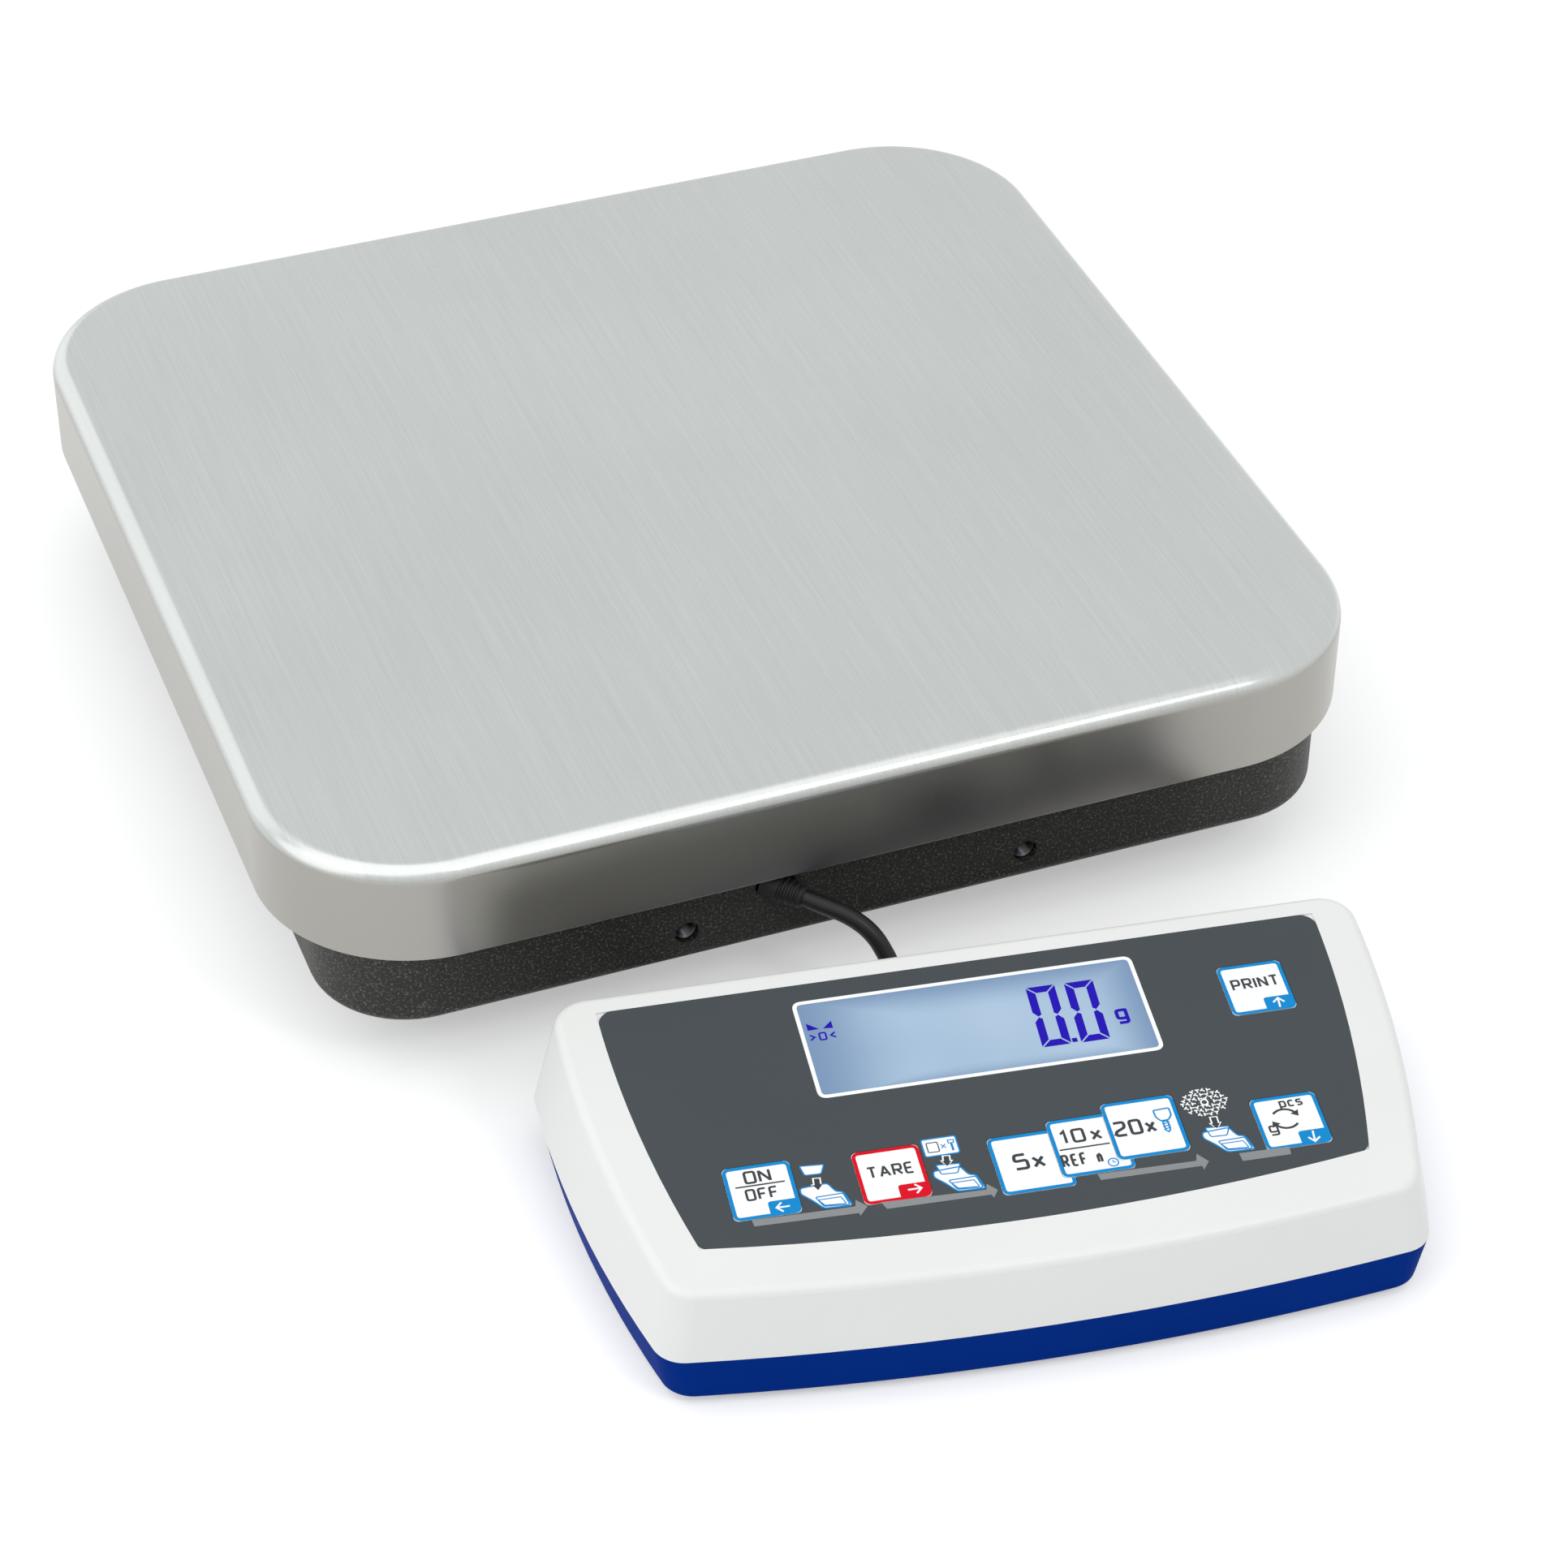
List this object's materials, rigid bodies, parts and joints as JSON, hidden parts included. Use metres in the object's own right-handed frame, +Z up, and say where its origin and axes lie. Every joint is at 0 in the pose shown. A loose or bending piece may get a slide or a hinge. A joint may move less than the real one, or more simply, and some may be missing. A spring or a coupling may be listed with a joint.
{
  "type": "counting scale",
  "caption": "Platform counting scale: lift-off steel plate on a cast base with levelling feet, joined by a lead to a sloping keypad display unit.",
  "frame": {"origin": "on the table, under the middle of the whole scale's outline, the lead left out", "axes": "+Z up, +X to the user's right, +Y away from the user"},
  "size_m": [0.318, 0.4702, 0.075],
  "materials": {
    "cast_base": "dark hammertone paint",
    "plate_steel": "fine brushed stainless steel",
    "carrier_metal": "sawn and milled",
    "cell_metal": "machined",
    "bolt_steel": "zinc plated",
    "buffer_rubber": "moulded",
    "insert_steel": "blackened, turned",
    "black_plastic": "moulded",
    "vial_glass": "filled vial",
    "black_rubber": "moulded",
    "lead_jacket": "smooth jacket",
    "inner_lead": "smooth jacket",
    "white_shell": "fine spark texture",
    "blue_shell": "fine spark texture",
    "overlay_print": "printed film",
    "lcd_cover": "clear window",
    "lcd_panel": "lit display",
    "backlight_plastic": "opal",
    "circuit_board": "solder mask",
    "dome_metal": "pressed",
    "chip_plastic": "moulded",
    "ribbon_jacket": "flat",
    "socket_metal": "pressed and plated",
    "battery_jacket": "sleeve",
    "key_face": "printed film",
    "foot_metal": "turned and plated"
  },
  "bodies": {
    "base": {"base_housing": "cast_base", "base_strain_relief": "black_rubber", "battery_block": "battery_jacket", "battery_snap": "black_plastic", "bubble_level_cup": "black_plastic", "bubble_level_vial": "vial_glass", "cable_tie": "black_plastic", "display_feet": "buffer_rubber", "display_lead": "lead_jacket", "display_lead_hank": "lead_jacket", "display_lead_tail": "lead_jacket", "display_lower_shell": "blue_shell", "display_strain_relief": "black_rubber", "display_upper_shell": "white_shell", "front_inserts": "insert_steel", "housing_screws": "bolt_steel", "key_domes": "dome_metal", "keypad_board": "circuit_board", "keypad_board_pillars": "white_shell", "keypad_board_screws": "bolt_steel", "keypad_overlay": "overlay_print", "lcd_backlight": "backlight_plastic", "lcd_glass": "lcd_panel", "lcd_window": "lcd_cover", "load_cell": "cell_metal", "load_cell_bolts_lower": "bolt_steel", "load_cell_lead": "inner_lead", "load_cell_spacer_lower": "carrier_metal", "main_board": "circuit_board", "main_board_parts": "chip_plastic", "main_board_screws": "bolt_steel", "overload_stops": "bolt_steel", "power_jack": "black_plastic", "ribbon_cable": "ribbon_jacket", "serial_socket": "socket_metal"},
    "carrier": {"load_carrier": "carrier_metal", "load_cell_spacer_upper": "carrier_metal", "load_cell_bolts_upper": "bolt_steel", "plate_buffers": "buffer_rubber"},
    "plate": {"weighing_plate": "plate_steel"},
    "battery_door": {"battery_cover": "blue_shell"},
    "key_on_off_cap": {"key_on_off": "key_face"},
    "key_tare_cap": {"key_tare": "key_face"},
    "key_reference_5_cap": {"key_reference_5": "key_face"},
    "key_reference_10_cap": {"key_reference_10": "key_face"},
    "key_reference_20_cap": {"key_reference_20": "key_face"},
    "key_unit_cap": {"key_unit": "key_face"},
    "key_print_cap": {"key_print": "key_face"},
    "sole_front_left": {"foot_sole_front_left": "buffer_rubber"},
    "screw_front_left": {"foot_screw_front_left": "foot_metal"},
    "sole_front_right": {"foot_sole_front_right": "buffer_rubber"},
    "screw_front_right": {"foot_screw_front_right": "foot_metal"},
    "sole_back_left": {"foot_sole_back_left": "buffer_rubber"},
    "screw_back_left": {"foot_screw_back_left": "foot_metal"},
    "sole_back_right": {"foot_sole_back_right": "buffer_rubber"},
    "screw_back_right": {"foot_screw_back_right": "foot_metal"}
  },
  "joints": [
    {"name": "load_deflection", "type": "slide", "parent": "base", "child": "carrier", "axis": [0, 0, -1], "range_m": [0, 0.0005], "stiffness_N_per_m": 60000, "springref_m": -0.00028, "deforming": ["load_cell"]},
    {"name": "plate_lift_off", "type": "slide", "parent": "carrier", "child": "plate", "axis": [0, 0, 1], "range_m": [0, 0.06]},
    {"name": "battery_cover_slide", "type": "slide", "parent": "base", "child": "battery_door", "axis": [-0.1478, -0.989, 0], "range_m": [0, 0.005]},
    {"name": "key_on_off_press", "type": "slide", "parent": "base", "child": "key_on_off_cap", "axis": [0.0129, 0.0862, -0.9962], "range_m": [0, 0.0004], "stiffness_N_per_m": 300, "springref_m": -0.0001},
    {"name": "key_tare_press", "type": "slide", "parent": "base", "child": "key_tare_cap", "axis": [0.0129, 0.0862, -0.9962], "range_m": [0, 0.0004], "stiffness_N_per_m": 300, "springref_m": -0.0001},
    {"name": "key_reference_5_press", "type": "slide", "parent": "base", "child": "key_reference_5_cap", "axis": [0.0129, 0.0862, -0.9962], "range_m": [0, 0.0004], "stiffness_N_per_m": 300, "springref_m": -0.0001},
    {"name": "key_reference_10_press", "type": "slide", "parent": "base", "child": "key_reference_10_cap", "axis": [0.0129, 0.0862, -0.9962], "range_m": [0, 0.0004], "stiffness_N_per_m": 300, "springref_m": -0.0001},
    {"name": "key_reference_20_press", "type": "slide", "parent": "base", "child": "key_reference_20_cap", "axis": [0.0129, 0.0862, -0.9962], "range_m": [0, 0.0004], "stiffness_N_per_m": 300, "springref_m": -0.0001},
    {"name": "key_unit_press", "type": "slide", "parent": "base", "child": "key_unit_cap", "axis": [0.0129, 0.0862, -0.9962], "range_m": [0, 0.0004], "stiffness_N_per_m": 300, "springref_m": -0.0001},
    {"name": "key_print_press", "type": "slide", "parent": "base", "child": "key_print_cap", "axis": [0.0129, 0.0862, -0.9962], "range_m": [0, 0.0004], "stiffness_N_per_m": 300, "springref_m": -0.0001},
    {"name": "foot_height_front_left", "type": "slide", "parent": "base", "child": "sole_front_left", "axis": [0, 0, -1], "range_m": [0, 0.008]},
    {"name": "foot_turn_front_left", "type": "hinge", "parent": "sole_front_left", "child": "screw_front_left", "pos_m": [-0.115, -0.03105, 0], "axis": [0, 0, 1], "range_deg": [0, 2304]},
    {"name": "foot_height_front_right", "type": "slide", "parent": "base", "child": "sole_front_right", "axis": [0, 0, -1], "range_m": [0, 0.008]},
    {"name": "foot_turn_front_right", "type": "hinge", "parent": "sole_front_right", "child": "screw_front_right", "pos_m": [0.115, -0.03105, 0], "axis": [0, 0, 1], "range_deg": [0, 2304]},
    {"name": "foot_height_back_left", "type": "slide", "parent": "base", "child": "sole_back_left", "axis": [0, 0, -1], "range_m": [0, 0.008]},
    {"name": "foot_turn_back_left", "type": "hinge", "parent": "sole_back_left", "child": "screw_back_left", "pos_m": [-0.115, 0.19295, 0], "axis": [0, 0, 1], "range_deg": [0, 2304]},
    {"name": "foot_height_back_right", "type": "slide", "parent": "base", "child": "sole_back_right", "axis": [0, 0, -1], "range_m": [0, 0.008]},
    {"name": "foot_turn_back_right", "type": "hinge", "parent": "sole_back_right", "child": "screw_back_right", "pos_m": [0.115, 0.19295, 0], "axis": [0, 0, 1], "range_deg": [0, 2304]}
  ],
  "couplings": [
    {"joint": "foot_height_front_left", "follows": "foot_turn_front_left", "m_per_rad": 0.00019894},
    {"joint": "foot_height_front_right", "follows": "foot_turn_front_right", "m_per_rad": 0.00019894},
    {"joint": "foot_height_back_left", "follows": "foot_turn_back_left", "m_per_rad": 0.00019894},
    {"joint": "foot_height_back_right", "follows": "foot_turn_back_right", "m_per_rad": 0.00019894}
  ]
}
